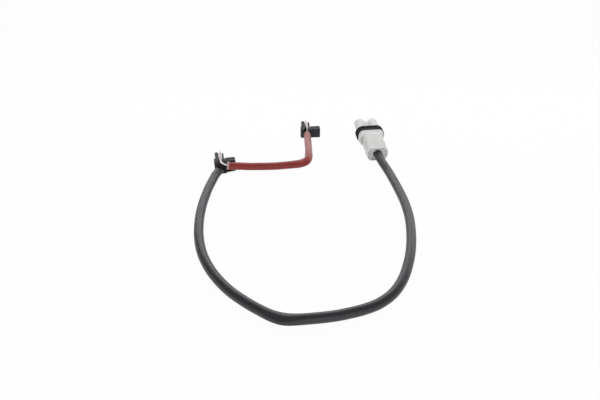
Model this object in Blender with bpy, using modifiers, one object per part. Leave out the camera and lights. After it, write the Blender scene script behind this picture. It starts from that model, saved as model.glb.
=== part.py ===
"""Brake pad wear sensor: a two pin plug, a sheathed cable and two pad heads in series.

The origin lies on the table under the middle of the plug and the heads, and +Z is up.
The plug and each head are built in a frame of their own: its Y runs along the piece,
its Z is up from the table, and an empty sets it down where it lies.
"""
import math

import bmesh
import bpy
from mathutils import Matrix, Vector

MM = 0.001

# Room between pieces, how far a cutter reaches past what it cuts, the straight side left
# between two half round ends, and the distance at which doubled points are one
GAP = 0.3 * MM
PAST = 1.0 * MM
HAIR = 0.01 * MM
WELD = 0.001 * MM

# Where the plug and the two heads lie: place on the table and turn about Z in degrees
PLUG_PLACE = (46.3 * MM, -12.6 * MM)
PLUG_TURN = 6.0
HEAD_1_PLACE = (-48.5 * MM, -23.1 * MM)
HEAD_1_TURN = 12.0
HEAD_2_PLACE = (3.2 * MM, 13.9 * MM)
HEAD_2_TURN = 5.0

# Cable sheath with its insulated wires
SHEATH_DIAMETER = 5.0 * MM
SHEATH_WALL = 0.65 * MM
WIRE_DIAMETER = 1.3 * MM
WIRE_SPREAD = 0.85 * MM
SHEATH_STEP = 10.0 * MM
SHEATH_END = (-1.0 * MM, -3.2 * MM)
SHEATH_END_TURN = -36.0

# Woven sleeve of the link between the two heads
SLEEVE_DIAMETER = 4.55 * MM
SLEEVE_WALL = 0.4 * MM
SLEEVE_STEP = 3.4 * MM

# Plug housing
SHROUD_WIDTH = 12.8 * MM
SHROUD_HEIGHT = 9.2 * MM
SHROUD_LENGTH = 17.0 * MM
SHROUD_CORNER = 3.4 * MM
SHROUD_WALL = 1.0 * MM
POCKET_DEPTH = 15.0 * MM
COLLAR_SIDE = 0.2 * MM
COLLAR_TOP = 1.2 * MM
COLLAR_LENGTH = 4.0 * MM
COLLAR_CORNER = 4.2 * MM
COLLAR_EDGE = 0.5 * MM
BARREL_DIAMETER = 7.0 * MM
BARREL_SPACING = 8.4 * MM
BARREL_LENGTH = 11.8 * MM
BARREL_CHAMFER = 0.5 * MM
WEB_HEIGHT = 3.6 * MM
CONTACT_BORE = 3.9 * MM
CORE_RISE = 0.1 * MM

# Plug seal
SEAL_LENGTH = 5.0 * MM
SEAL_RISE = 0.5 * MM
RIB_RISE = 0.45 * MM
RIB_LENGTH = 1.7 * MM
RIB_INSET = 0.15 * MM
RIB_EDGE = 0.4 * MM

# The core behind the barrels, and the height of its axis: the plug lies on its seal's ribs
CORE_WIDTH = BARREL_SPACING + BARREL_DIAMETER + 2 * CORE_RISE
CORE_HEIGHT = BARREL_DIAMETER + 2 * CORE_RISE
PLUG_AXIS = CORE_HEIGHT / 2 + GAP + SEAL_RISE + RIB_RISE

# Cable retainer in the shroud
RETAINER_LENGTH = 7.0 * MM
RETAINER_SETBACK = 0.8 * MM

# Contacts
CONTACT_LENGTH = 16.0 * MM
CONTACT_SETBACK = 3.0 * MM
CONTACT_SOCKET = 2.0 * MM
CONTACT_SOCKET_DEPTH = 8.0 * MM
CRIMP_DEPTH = 4.0 * MM
CRIMP_BORE = 1.9 * MM

# The wires between the sheath's end and the contacts: room left behind and ahead of the part
# where they fan out, and the share of a crimp that a wire fills
FAN_BEHIND = 1.2 * MM
FAN_AHEAD = 0.5 * MM
WIRE_IN_CRIMP = 0.4

# Head housing, seen from above: a lump and a plate on the left, the sensing block on the right
HEAD_HEIGHT = 6.2 * MM
HEAD_EDGE = 0.25 * MM
LUMP_REACH = 4.1 * MM
LUMP_LENGTH = 4.8 * MM
LUMP_FULLNESS = 0.6
PLATE_OUTSIDE = 3.0 * MM
PLATE_THICKNESS = 2.2 * MM
PLATE_LENGTH = 11.2 * MM
SLOT_WIDTH = 2.0 * MM
SLOT_START = 3.6 * MM
STRIP_THICKNESS = 1.0 * MM
STRIP_LENGTH = 9.8 * MM
BLOCK_TIP = 8.6 * MM
BLOCK_DEPTH = 3.1 * MM
CHAMBER_START = 0.6 * MM
CHAMBER_END = 2.5 * MM
MOUTH_END = 2.3 * MM
MOUTH_LEFT = 1.6 * MM
MOUTH_RIGHT = 1.1 * MM
FLOOR = 1.2 * MM
POCKET_START = 3.2 * MM
POCKET_FRONT = 0.7 * MM
TIP_WALL = 1.0 * MM
HEAD_WIRE_AXIS = 3.1 * MM
LID_THICKNESS = 0.8 * MM
LID_EDGE = 0.2 * MM

# Spring clip
CLIP_THICKNESS = 0.45 * MM
CLIP_EDGE = 0.5 * MM
CLIP_LONG_LEG = 13.6 * MM
CLIP_SHORT_LEG = 8.8 * MM
CLIP_BEND = 4.6 * MM
CLIP_LEAN = 0.9 * MM

# Sensing loop, its crimp splices and the potting over it
LOOP_WIRE = 0.45 * MM
LOOP_TIP = 6.75 * MM
LOOP_IN_SPLICE = 0.6
SPLICE_DIAMETER = 1.4 * MM
SPLICE_BORE = 1.05 * MM
SPLICE_START = 1.5 * MM
SPLICE_LENGTH = 1.7 * MM
SPLICE_SIDES = 16
POTTING_DEPTH = 0.85 * MM

# Junction boot by the first head
BOOT_LEFT = 2.7 * MM
BOOT_RIGHT = 3.0 * MM
BOOT_LENGTH = 3.9 * MM
BOOT_HEIGHT = 7.3 * MM
BOOT_EDGE = 0.7 * MM
BOOT_LIFT = 0.3 * MM
BOOT_WALL = 0.45 * MM
BOOT_FLOOR = 1.3 * MM
TAIL_LIFT = 1.0 * MM
TAIL_HEIGHT = 2.0 * MM
TAIL_EDGE = 0.3 * MM
LINK_AXIS_HEIGHT = 5.0 * MM
LINK_AXIS_BACK = 2.7 * MM
LINK_WIRE_BACK = 2.4 * MM

# Route of the sheath's middle from the plug to the first head, and of the sleeve's to the
# second one, in millimetres
SHEATH_ROUTE = (
    (47.8, -18.1, 3.9), (49.8, -24.1, 3.2), (51.6, -30.2, 2.7), (54.3, -43.5, 2.5),
    (56.2, -56.5, 2.5), (56.7, -69.4, 2.5), (55.6, -81.8, 2.5), (53.5, -93.5, 2.5),
    (50.3, -104.3, 2.5), (46.2, -113.9, 2.5), (40.8, -121.8, 2.5), (34.2, -127.4, 2.5),
    (27.2, -130.8, 2.5), (20.2, -133.0, 2.5), (13.4, -134.6, 2.5), (6.5, -135.6, 2.5),
    (-0.5, -136.2, 2.5), (-7.4, -135.8, 2.5), (-14.3, -133.9, 2.5), (-20.9, -130.2, 2.5),
    (-27.3, -125.6, 2.5), (-33.7, -120.1, 2.5), (-39.8, -113.2, 2.5), (-45.3, -105.0, 2.5),
    (-49.9, -95.1, 2.5), (-53.0, -83.7, 2.5), (-54.6, -71.3, 2.5), (-54.8, -58.1, 2.5),
    (-53.6, -44.7, 2.5), (-52.0, -35.7, 2.6),
)
SLEEVE_ROUTE = (
    (-42.0, -24.9, 4.7), (-39.4, -24.5, 4.3), (-35.9, -23.8, 3.7), (-31.8, -23.1, 3.0),
    (-26.8, -22.3, 2.5), (-20.7, -21.9, 2.3), (-15.9, -21.6, 2.3), (-11.1, -20.9, 2.3),
    (-6.2, -20.0, 2.3), (-1.6, -18.8, 2.3), (1.9, -16.4, 2.3), (3.6, -11.9, 2.3),
    (4.0, -6.4, 2.3), (3.9, 0.5, 2.3), (3.6, 7.6, 2.5),
)

# Outline of the boot's tail from above, in millimetres from the boot's right side and the
# head's foot
TAIL_OUTLINE = ((-1.0, -3.6), (0.4, -3.9), (4.8, -3.5), (6.0, -2.3), (5.4, -1.2), (-1.0, -1.2))

# Points on the wires' ways at the heads, in millimetres in the head's frame, with heights
# counted from the level at which the wire ends
FEED_TURNS = (
    (-1.2, -1.9, 0.6), (-0.85, -0.9, 0.15), (-0.65, 0.1, 0.0), (-0.4, 0.9, 0.0),
    (0.2, 1.45, 0.0), (0.7, 1.55, 0.0),
)
RETURN_TURNS = ((0.3, -2.95, -0.85), (1.1, -2.5, -0.45), (2.1, -2.4, -0.1))
LINK_TURNS = (
    (0.7, 1.55, 0.0), (0.1, 1.25, 0.0), (-0.25, 0.6, 0.05), (-0.3, -0.3, 0.2),
    (-0.05, -1.2, 0.6), (0.7, -2.0, 1.1), (1.8, -2.35, 1.8),
)
SECOND_HEAD_TURNS = ((0.0, -0.3, 0.0), (0.0, 0.5, 0.0), (0.2, 1.1, 0.0), (0.7, 1.55, 0.0))

# Sides of the round pieces, and steps of the fine curve that a route is read from
ROUND = 32
TUBE_SIDES = 10
WIRE_SIDES = 8
FINE = 20


def clear_scene():
    for old in list(bpy.data.objects):
        bpy.data.objects.remove(old, do_unlink=True)


def new_collection(name):
    made = bpy.data.collections.new(name)
    bpy.context.scene.collection.children.link(made)
    return made


clear_scene()
PARTS = new_collection("brake_pad_wear_sensor")
CUTTERS = new_collection("cutters")


def material(name, colour, roughness, metallic=0.0):
    made = bpy.data.materials.new(name)
    made.use_nodes = True
    shader = made.node_tree.nodes["Principled BSDF"]
    shader.inputs["Base Color"].default_value = (*colour, 1.0)
    shader.inputs["Roughness"].default_value = roughness
    shader.inputs["Metallic"].default_value = metallic
    return made


def frame(name, place, turn):
    """An empty that carries the pieces of the plug or of one head."""
    made = bpy.data.objects.new(name, None)
    made.location = (place[0], place[1], 0.0)
    made.rotation_euler = (0.0, 0.0, math.radians(turn))
    made.empty_display_size = 5.0 * MM
    PARTS.objects.link(made)
    return made


def frame_matrix(place, turn):
    return Matrix.Translation((place[0], place[1], 0.0)) @ Matrix.Rotation(math.radians(turn), 4, "Z")


def mesh_object(name, mesh, parent=None):
    made = bpy.data.objects.new(name, mesh)
    PARTS.objects.link(made)
    made.parent = parent
    return made


def as_cutter(obj):
    for home in list(obj.users_collection):
        home.objects.unlink(obj)
    CUTTERS.objects.link(obj)
    obj.hide_render = True
    obj.display_type = "WIRE"
    return obj


def boolean(target, other, operation):
    step = target.modifiers.new(operation.lower() + "_" + other.name, "BOOLEAN")
    step.operation = operation
    step.object = other
    step.solver = "EXACT"


def cut(target, *cutters):
    for cutter in cutters:
        boolean(target, as_cutter(cutter), "DIFFERENCE")


def join(target, *others):
    for other in others:
        boolean(target, as_cutter(other), "UNION")


def soften(obj, width, segments=2, angle=40.0):
    """Round the edges that are sharper than the angle."""
    step = obj.modifiers.new("edges", "BEVEL")
    step.width = width
    step.segments = segments
    step.limit_method = "ANGLE"
    step.angle_limit = math.radians(angle)


def box(name, low, high, parent=None):
    middle = [(a + b) / 2 for a, b in zip(low, high)]
    sides = [b - a for a, b in zip(low, high)]
    shape = bmesh.new()
    bmesh.ops.create_cube(shape, size=1.0)
    bmesh.ops.scale(shape, vec=sides, verts=shape.verts)
    bmesh.ops.translate(shape, vec=middle, verts=shape.verts)
    mesh = bpy.data.meshes.new(name)
    shape.to_mesh(mesh)
    shape.free()
    return mesh_object(name, mesh, parent)


def from_curve(name, data, parent=None, matrix=None):
    """Turn a curve into a mesh object with its caps welded on."""
    carrier = bpy.data.objects.new(name + "_curve", data)
    bpy.context.scene.collection.objects.link(carrier)
    bpy.context.view_layer.update()
    evaluated = carrier.evaluated_get(bpy.context.evaluated_depsgraph_get())
    mesh = bpy.data.meshes.new_from_object(evaluated)
    shape = bmesh.new()
    shape.from_mesh(mesh)
    bmesh.ops.remove_doubles(shape, verts=shape.verts, dist=WELD)
    bmesh.ops.recalc_face_normals(shape, faces=shape.faces)
    shape.to_mesh(mesh)
    shape.free()
    if matrix is not None:
        mesh.transform(matrix)
    made = mesh_object(name, mesh, parent)
    bpy.data.objects.remove(carrier, do_unlink=True)
    return made


def plate(name, outline, height, parent=None, matrix=None):
    """A flat outline in X and Y with a thickness in Z, from 0 up to the height."""
    data = bpy.data.curves.new(name, "CURVE")
    data.dimensions = "2D"
    data.fill_mode = "BOTH"
    data.extrude = height / 2
    line = data.splines.new("POLY")
    line.points.add(len(outline) - 1)
    for point, (x, y) in zip(line.points, outline):
        point.co = (x, y, 0.0, 1.0)
    line.use_cyclic_u = True
    lift = Matrix.Translation((0.0, 0.0, height / 2))
    return from_curve(name, data, parent, lift if matrix is None else matrix @ lift)


def rounded_rectangle(width, height, corner, steps=7):
    """Outline with round corners about the middle, counter-clockwise."""
    outline = []
    for quarter, (sx, sy) in enumerate(((1, 1), (-1, 1), (-1, -1), (1, -1))):
        cx = sx * (width / 2 - corner)
        cy = sy * (height / 2 - corner)
        for step in range(steps + 1):
            angle = math.radians(90.0 * (quarter + step / steps))
            outline.append((cx + corner * math.cos(angle), cy + corner * math.sin(angle)))
    return outline


def along_plug(start):
    """Stand an outline upright, so that its thickness runs along the plug from a start."""
    return Matrix.Translation((0.0, start, PLUG_AXIS)) @ Matrix.Rotation(math.radians(-90.0), 4, "X")


def plug_section(name, width, height, corner, start, end, parent):
    outline = rounded_rectangle(width, height, corner)
    return plate(name, outline, end - start, parent, along_plug(start))


def rod(name, radius, start, end, place=(0.0, 0.0), axis="Y", parent=None, sides=ROUND):
    """A cylinder along Y at a place in X and Z, or along X at a place in Y and Z."""
    shape = bmesh.new()
    bmesh.ops.create_cone(shape, cap_ends=True, segments=sides, radius1=radius, radius2=radius,
                          depth=end - start)
    middle = (start + end) / 2
    if axis == "Y":
        turn = Matrix.Rotation(math.radians(-90.0), 4, "X")
        move = Matrix.Translation((place[0], middle, place[1]))
    else:
        turn = Matrix.Rotation(math.radians(90.0), 4, "Y")
        move = Matrix.Translation((middle, place[0], place[1]))
    bmesh.ops.transform(shape, matrix=move @ turn, verts=shape.verts)
    mesh = bpy.data.meshes.new(name)
    shape.to_mesh(mesh)
    shape.free()
    return mesh_object(name, mesh, parent)


def turned(name, profile, parent, matrix):
    """Spin a profile of radius and height, whose ends lie on the axis, around Z."""
    mesh = bpy.data.meshes.new(name)
    points = [(radius, 0.0, height) for radius, height in profile]
    edges = [(i, i + 1) for i in range(len(points) - 1)]
    mesh.from_pydata(points, edges, [])
    made = mesh_object(name, mesh, parent)
    made.matrix_local = matrix
    spin = made.modifiers.new("spin", "SCREW")
    spin.axis = "Z"
    spin.steps = ROUND
    spin.render_steps = ROUND
    spin.use_merge_vertices = True
    spin.merge_threshold = WELD
    spin.use_smooth_shade = True
    return made


def smooth_line(points, step):
    """Read points at even steps along a smooth curve through the given ones."""
    ends = [points[0] * 2 - points[1]] + list(points) + [points[-1] * 2 - points[-2]]
    fine = []
    for i in range(1, len(ends) - 2):
        p0, p1, p2, p3 = ends[i - 1:i + 3]
        for part in range(FINE):
            t = part / FINE
            fine.append(0.5 * ((2 * p1) + (p2 - p0) * t + (2 * p0 - 5 * p1 + 4 * p2 - p3) * t ** 2
                               + (3 * p1 - p0 - 3 * p2 + p3) * t ** 3))
    fine.append(points[-1].copy())
    reach = [0.0]
    for a, b in zip(fine, fine[1:]):
        reach.append(reach[-1] + (b - a).length)
    count = max(2, round(reach[-1] / step))
    line = []
    k = 0
    for n in range(count + 1):
        target = reach[-1] * n / count
        while k < len(fine) - 2 and reach[k + 1] < target:
            k += 1
        share = (target - reach[k]) / (reach[k + 1] - reach[k])
        line.append(fine[k].lerp(fine[k + 1], min(1.0, share)))
    return line


def tube(name, line, diameter, wall=None, sides=TUBE_SIDES):
    """A round tube or wire along a line, closed at its ends, or hollow where a wall is given."""
    data = bpy.data.curves.new(name, "CURVE")
    data.dimensions = "3D"
    data.bevel_depth = diameter / 2
    data.bevel_resolution = sides // 2 - 2
    data.use_fill_caps = wall is None
    spline = data.splines.new("POLY")
    spline.points.add(len(line) - 1)
    for point, place in zip(spline.points, line):
        point.co = (*place, 1.0)
    made = from_curve(name, data)
    made.data.shade_smooth()
    if wall is not None:
        shell = made.modifiers.new("wall", "SOLIDIFY")
        shell.thickness = wall
        shell.offset = -1.0
    return made


def beside(line, sideways=0.0, up=0.0):
    """A line beside another: to the left of its direction, and above it."""
    moved = []
    for i, place in enumerate(line):
        ahead = line[min(i + 1, len(line) - 1)] - line[max(i - 1, 0)]
        left = Vector((-ahead.y, ahead.x, 0.0)).normalized()
        moved.append(place + left * sideways + Vector((0.0, 0.0, up)))
    return moved


def finish(obj, look, angle=35.0):
    """Give a piece its material, smooth round faces and sharp edges."""
    obj.data.materials.clear()
    obj.data.materials.append(look)
    obj.data.shade_smooth()
    obj.data.set_sharp_from_angle(angle=math.radians(angle))
    return obj


def make_looks():
    return {
        "nylon": material("natural_nylon", (0.68, 0.67, 0.64), 0.4),
        "rubber": material("black_rubber", (0.02, 0.02, 0.021), 0.55),
        "sheath": material("black_sheath", (0.04, 0.04, 0.042), 0.5),
        "sleeve": material("red_brown_sleeve", (0.25, 0.05, 0.04), 0.6),
        "wire": material("wire_insulation", (0.30, 0.30, 0.32), 0.5),
        "head": material("black_moulding", (0.03, 0.032, 0.036), 0.45),
        "steel": material("spring_steel", (0.70, 0.69, 0.70), 0.3, 1.0),
        "copper": material("copper_wire", (0.72, 0.35, 0.20), 0.35, 1.0),
        "tin": material("tinned_brass", (0.72, 0.68, 0.58), 0.3, 1.0),
        "resin": material("potting_resin", (0.06, 0.05, 0.04), 0.25),
    }


# Plug

SEAL_START = SHROUD_LENGTH + COLLAR_LENGTH + GAP
SEAL_END = SEAL_START + SEAL_LENGTH
BARREL_END = SEAL_END + BARREL_LENGTH
COLLAR_WIDTH = CORE_WIDTH + 2 * COLLAR_SIDE
COLLAR_HEIGHT = CORE_HEIGHT + 2 * COLLAR_TOP


def build_plug(looks):
    plug = frame("plug_place", PLUG_PLACE, PLUG_TURN)
    build_plug_housing(plug, looks)
    build_plug_seal(plug, looks)
    build_cable_retainer(plug, looks)
    for number, side in ((1, 1), (2, -1)):
        build_contact(number, side, plug, looks)


def build_plug_housing(plug, looks):
    housing = plug_section("connector_housing", SHROUD_WIDTH, SHROUD_HEIGHT, SHROUD_CORNER,
                           0.0, SHROUD_LENGTH + COLLAR_LENGTH / 2, plug)
    collar = plug_section("collar", COLLAR_WIDTH, COLLAR_HEIGHT, COLLAR_CORNER,
                          SHROUD_LENGTH, SHROUD_LENGTH + COLLAR_LENGTH, plug)
    soften(collar, COLLAR_EDGE)
    core = plug_section("core", CORE_WIDTH, CORE_HEIGHT, CORE_HEIGHT / 2 - HAIR,
                        SHROUD_LENGTH + COLLAR_LENGTH / 2, SEAL_END, plug)
    web = box("web", (-BARREL_SPACING / 2, SEAL_END - PAST, PLUG_AXIS - WEB_HEIGHT / 2),
              (BARREL_SPACING / 2, BARREL_END - PAST, PLUG_AXIS + WEB_HEIGHT / 2), plug)
    barrels = []
    bores = []
    for side in (-1, 1):
        place = (side * BARREL_SPACING / 2, PLUG_AXIS)
        barrel = rod("barrel_%d" % side, BARREL_DIAMETER / 2, SEAL_END - PAST, BARREL_END, place,
                     parent=plug)
        soften(barrel, BARREL_CHAMFER, angle=60.0)
        barrels.append(barrel)
        bores.append(rod("contact_bore_%d" % side, CONTACT_BORE / 2, POCKET_DEPTH - PAST,
                         BARREL_END + PAST, place, parent=plug))
    pocket = plug_section("pocket", SHROUD_WIDTH - 2 * SHROUD_WALL, SHROUD_HEIGHT - 2 * SHROUD_WALL,
                          SHROUD_CORNER - SHROUD_WALL, -PAST, POCKET_DEPTH, plug)
    join(housing, collar, core, web, *barrels)
    cut(housing, pocket, *bores)
    finish(housing, looks["nylon"])


def build_plug_seal(plug, looks):
    """Ribbed ring around the plug's core, in front of the collar."""
    inner_width = CORE_WIDTH + 2 * GAP
    inner_height = CORE_HEIGHT + 2 * GAP
    width = inner_width + 2 * SEAL_RISE
    height = inner_height + 2 * SEAL_RISE
    seal = plug_section("connector_seal", width, height, height / 2 - HAIR, SEAL_START,
                        SEAL_END, plug)
    ribs = []
    for start in (SEAL_START, SEAL_END - RIB_LENGTH):
        rib = plug_section("rib_%d" % len(ribs), width + 2 * RIB_RISE, height + 2 * RIB_RISE,
                           height / 2 + RIB_RISE - HAIR, start + RIB_INSET,
                           start + RIB_LENGTH - RIB_INSET, plug)
        soften(rib, RIB_EDGE)
        ribs.append(rib)
    hole = plug_section("seal_hole", inner_width, inner_height, inner_height / 2 - HAIR,
                        SEAL_START - PAST, SEAL_END + PAST, plug)
    join(seal, *ribs)
    cut(seal, hole)
    finish(seal, looks["rubber"])


def build_cable_retainer(plug, looks):
    """Insert that holds the sheath in the shroud's pocket."""
    width = SHROUD_WIDTH - 2 * SHROUD_WALL - 2 * GAP
    height = SHROUD_HEIGHT - 2 * SHROUD_WALL - 2 * GAP
    corner = SHROUD_CORNER - SHROUD_WALL - GAP
    retainer = plug_section("connector_cable_retainer", width, height, corner, RETAINER_SETBACK,
                            RETAINER_SETBACK + RETAINER_LENGTH, plug)
    hole = rod("retainer_hole", SHEATH_DIAMETER / 2 + GAP, RETAINER_SETBACK - PAST,
               RETAINER_SETBACK + RETAINER_LENGTH + PAST, (0.0, PLUG_AXIS), parent=plug)
    cut(retainer, hole)
    finish(retainer, looks["nylon"])


def contact_end():
    """The crimp end of a contact, measured along the plug."""
    return BARREL_END - CONTACT_SETBACK - CONTACT_LENGTH


def build_contact(number, side, plug, looks):
    outer = CONTACT_BORE / 2 - GAP
    profile = (
        (0.0, CONTACT_LENGTH - CONTACT_SOCKET_DEPTH),
        (CONTACT_SOCKET / 2, CONTACT_LENGTH - CONTACT_SOCKET_DEPTH),
        (CONTACT_SOCKET / 2, CONTACT_LENGTH),
        (outer, CONTACT_LENGTH),
        (outer, 0.0),
        (CRIMP_BORE / 2, 0.0),
        (CRIMP_BORE / 2, CRIMP_DEPTH),
        (0.0, CRIMP_DEPTH),
    )
    place = Matrix.Translation((side * BARREL_SPACING / 2, contact_end(), PLUG_AXIS))
    contact = turned("connector_contact_%d" % number, profile, plug,
                     place @ Matrix.Rotation(math.radians(-90.0), 4, "X"))
    finish(contact, looks["tin"])


# Heads

SLOT_LEFT = -(PLATE_OUTSIDE - PLATE_THICKNESS)
SLOT_RIGHT = SLOT_LEFT + SLOT_WIDTH
STRIP_OUTSIDE = SLOT_RIGHT + STRIP_THICKNESS
CHAMBER_TOP = HEAD_HEIGHT - FLOOR
LOOP_LINE = (CHAMBER_START + CHAMBER_END) / 2


def head_outline():
    """The housing from above, counter-clockwise from the foot of the lump."""
    lump = []
    for step in range(9):
        angle = math.pi * step / 8
        reach = PLATE_OUTSIDE + (LUMP_REACH - PLATE_OUTSIDE) * math.sin(angle) ** LUMP_FULLNESS
        lump.append((-reach, LUMP_LENGTH * (1 - math.cos(angle)) / 2))
    plate_end = round_end(-PLATE_OUTSIDE, SLOT_LEFT, PLATE_LENGTH)
    strip_end = round_end(SLOT_RIGHT, STRIP_OUTSIDE, STRIP_LENGTH)
    line = lump + plate_end + [(SLOT_LEFT, SLOT_START), (SLOT_RIGHT, SLOT_START)] + strip_end
    line += [(STRIP_OUTSIDE, BLOCK_DEPTH), (BLOCK_TIP, BLOCK_DEPTH), (BLOCK_TIP, 0.0)]
    return line[::-1]


def round_end(left, right, end):
    """Half round end of an upright wall, from its left side to its right."""
    radius = (right - left) / 2
    turn = [math.pi * (1 - step / 6) for step in range(7)]
    return [(left + radius + radius * math.cos(a), end - radius + radius * math.sin(a)) for a in turn]


def build_head(number, place, turn, looks):
    head = frame("head_%d_place" % number, place, turn)
    name = "head_%d_" % number
    build_head_housing(name, head, looks)
    build_block_lid(name, head, looks)
    build_spring_clip(name, head, looks)
    build_loop(name, place, turn, looks)
    for level in (-1, 1):
        build_splice(name, level, head, looks)
    build_potting(name, head, looks)


def build_head_housing(name, head, looks):
    housing = plate(name + "housing", head_outline(), HEAD_HEIGHT, head)
    soften(housing, HEAD_EDGE, angle=50.0)
    chamber = box(name + "chamber", (-MOUTH_LEFT, CHAMBER_START, FLOOR),
                  (POCKET_START + PAST, CHAMBER_END, CHAMBER_TOP), head)
    mouth = box(name + "mouth", (-MOUTH_LEFT, -PAST, FLOOR),
                (MOUTH_RIGHT, MOUTH_END, HEAD_HEIGHT + PAST), head)
    pocket = box(name + "pocket", (POCKET_START, POCKET_FRONT, FLOOR),
                 (BLOCK_TIP - TIP_WALL, BLOCK_DEPTH + PAST, CHAMBER_TOP), head)
    cut(housing, chamber, mouth, pocket)
    finish(housing, looks["head"])


def build_block_lid(name, head, looks):
    """Plate that closes the far side of the sensing block."""
    lid = box(name + "block_lid", (STRIP_OUTSIDE + GAP, BLOCK_DEPTH + GAP, 0.0),
              (BLOCK_TIP, BLOCK_DEPTH + GAP + LID_THICKNESS, HEAD_HEIGHT), head)
    soften(lid, LID_EDGE)
    finish(lid, looks["head"])


def build_spring_clip(name, head, looks):
    """Hairpin of spring strip that stands in the slot between the plate and the strip."""
    left = SLOT_LEFT + GAP + CLIP_THICKNESS / 2
    right = SLOT_RIGHT - GAP - CLIP_THICKNESS / 2
    radius = (right - left) / 2
    foot = SLOT_START + GAP + CLIP_THICKNESS / 2 + radius
    line = []
    for share in (1.0, 0.7, 0.35, 0.0):
        line.append((left + CLIP_LEAN * share ** 2, CLIP_LONG_LEG - CLIP_BEND * (1 - share)))
    for step in range(9):
        angle = math.pi * (1 + step / 8)
        line.append((left + radius + radius * math.cos(angle), foot + radius * math.sin(angle)))
    line.append((right, CLIP_SHORT_LEG))
    data = bpy.data.curves.new(name + "clip", "CURVE")
    data.dimensions = "2D"
    data.fill_mode = "NONE"
    data.extrude = HEAD_HEIGHT / 2 - CLIP_EDGE
    spline = data.splines.new("POLY")
    spline.points.add(len(line) - 1)
    for point, (x, y) in zip(spline.points, line):
        point.co = (x, y, 0.0, 1.0)
    clip = from_curve(name + "spring_clip", data, head, Matrix.Translation((0.0, 0.0, HEAD_HEIGHT / 2)))
    shell = clip.modifiers.new("strip", "SOLIDIFY")
    shell.thickness = CLIP_THICKNESS
    shell.offset = 0.0
    shell.use_even_offset = True
    finish(clip, looks["steel"])


def loop_points():
    """The bare loop in its head's frame: out to the tip at one level and back at the other."""
    bend = LOOP_TIP - WIRE_SPREAD
    start = SPLICE_START + SPLICE_LENGTH * (1 - LOOP_IN_SPLICE)
    line = [Vector((start, LOOP_LINE, HEAD_WIRE_AXIS - WIRE_SPREAD))]
    for step in range(9):
        angle = math.radians(-90.0 + 180.0 * step / 8)
        line.append(Vector((bend + WIRE_SPREAD * math.cos(angle), LOOP_LINE,
                            HEAD_WIRE_AXIS + WIRE_SPREAD * math.sin(angle))))
    line.append(Vector((start, LOOP_LINE, HEAD_WIRE_AXIS + WIRE_SPREAD)))
    return line


def build_loop(name, place, turn, looks):
    matrix = frame_matrix(place, turn)
    loop = tube(name + "sensing_loop", [matrix @ p for p in loop_points()], LOOP_WIRE, sides=WIRE_SIDES)
    finish(loop, looks["copper"])


def build_splice(name, level, head, looks):
    """Crimp tube that joins a wire to the loop."""
    height = HEAD_WIRE_AXIS + level * WIRE_SPREAD
    label = "lower" if level < 0 else "upper"
    end = SPLICE_START + SPLICE_LENGTH
    splice = rod(name + label + "_splice", SPLICE_DIAMETER / 2, SPLICE_START, end,
                 (LOOP_LINE, height), "X", head, sides=SPLICE_SIDES)
    hole = rod(name + label + "_splice_hole", SPLICE_BORE / 2, SPLICE_START - PAST, end + PAST,
               (LOOP_LINE, height), "X", head, sides=SPLICE_SIDES)
    cut(splice, hole)
    finish(splice, looks["tin"])


def build_potting(name, head, looks):
    """Resin over the loop, under the block's lid."""
    potting = box(name + "potting",
                  (POCKET_START + GAP, BLOCK_DEPTH - POTTING_DEPTH, FLOOR + GAP),
                  (BLOCK_TIP - TIP_WALL - GAP, BLOCK_DEPTH, CHAMBER_TOP - GAP), head)
    finish(potting, looks["resin"])


# Cable, link and wires

PLUG_MATRIX = frame_matrix(PLUG_PLACE, PLUG_TURN)
HEAD_1_MATRIX = frame_matrix(HEAD_1_PLACE, HEAD_1_TURN)
HEAD_2_MATRIX = frame_matrix(HEAD_2_PLACE, HEAD_2_TURN)


def in_plug(x, y, z):
    return PLUG_MATRIX @ Vector((x, y, z))


def in_head_1(x, y, z):
    return HEAD_1_MATRIX @ Vector((x, y, z))


def in_head_2(x, y, z):
    return HEAD_2_MATRIX @ Vector((x, y, z))


def sheath_end(ahead, left):
    """A point by the sheath's end at the first head, ahead of it and to its left."""
    turn = math.radians(SHEATH_END_TURN)
    x = SHEATH_END[0] - ahead * math.sin(turn) - left * math.cos(turn)
    y = SHEATH_END[1] + ahead * math.cos(turn) - left * math.sin(turn)
    return in_head_1(x, y, HEAD_WIRE_AXIS)


def sheath_line():
    start = in_plug(0.0, RETAINER_SETBACK + RETAINER_LENGTH + GAP, PLUG_AXIS)
    points = [in_plug(0.0, RETAINER_SETBACK - GAP, PLUG_AXIS)]
    points += [Vector(place) * MM for place in SHEATH_ROUTE]
    points += [sheath_end(-SHEATH_DIAMETER, 0.0) - Vector((0.0, 0.0, 0.2 * MM)), sheath_end(0.0, 0.0)]
    return [start] + smooth_line(points, SHEATH_STEP)


def sleeve_line():
    points = [in_head_1(BOOT_RIGHT + GAP, -LINK_AXIS_BACK, LINK_AXIS_HEIGHT)]
    points += [Vector(place) * MM for place in SLEEVE_ROUTE]
    points += [in_head_2(0.0, -GAP, HEAD_WIRE_AXIS)]
    return smooth_line(points, SLEEVE_STEP)


def plug_wire_line(side):
    """From a contact's crimp to the sheath's end in the plug's pocket."""
    middle = side * BARREL_SPACING / 2
    inner = side * WIRE_SPREAD
    start = contact_end() + CRIMP_DEPTH * WIRE_IN_CRIMP
    near = RETAINER_SETBACK + RETAINER_LENGTH + FAN_BEHIND
    reach = POCKET_DEPTH - FAN_AHEAD - near
    line = [in_plug(middle, start, PLUG_AXIS)]
    for step in range(6):
        share = step / 5
        ease = share * share * (3 - 2 * share)
        line.append(in_plug(middle + (inner - middle) * ease, near + reach * (1 - share), PLUG_AXIS))
    return line


def turns(place, points, level):
    """Points of a wire's way at a head, by a function that places them."""
    return [place(x * MM, y * MM, level + z * MM) for x, y, z in points]


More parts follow.
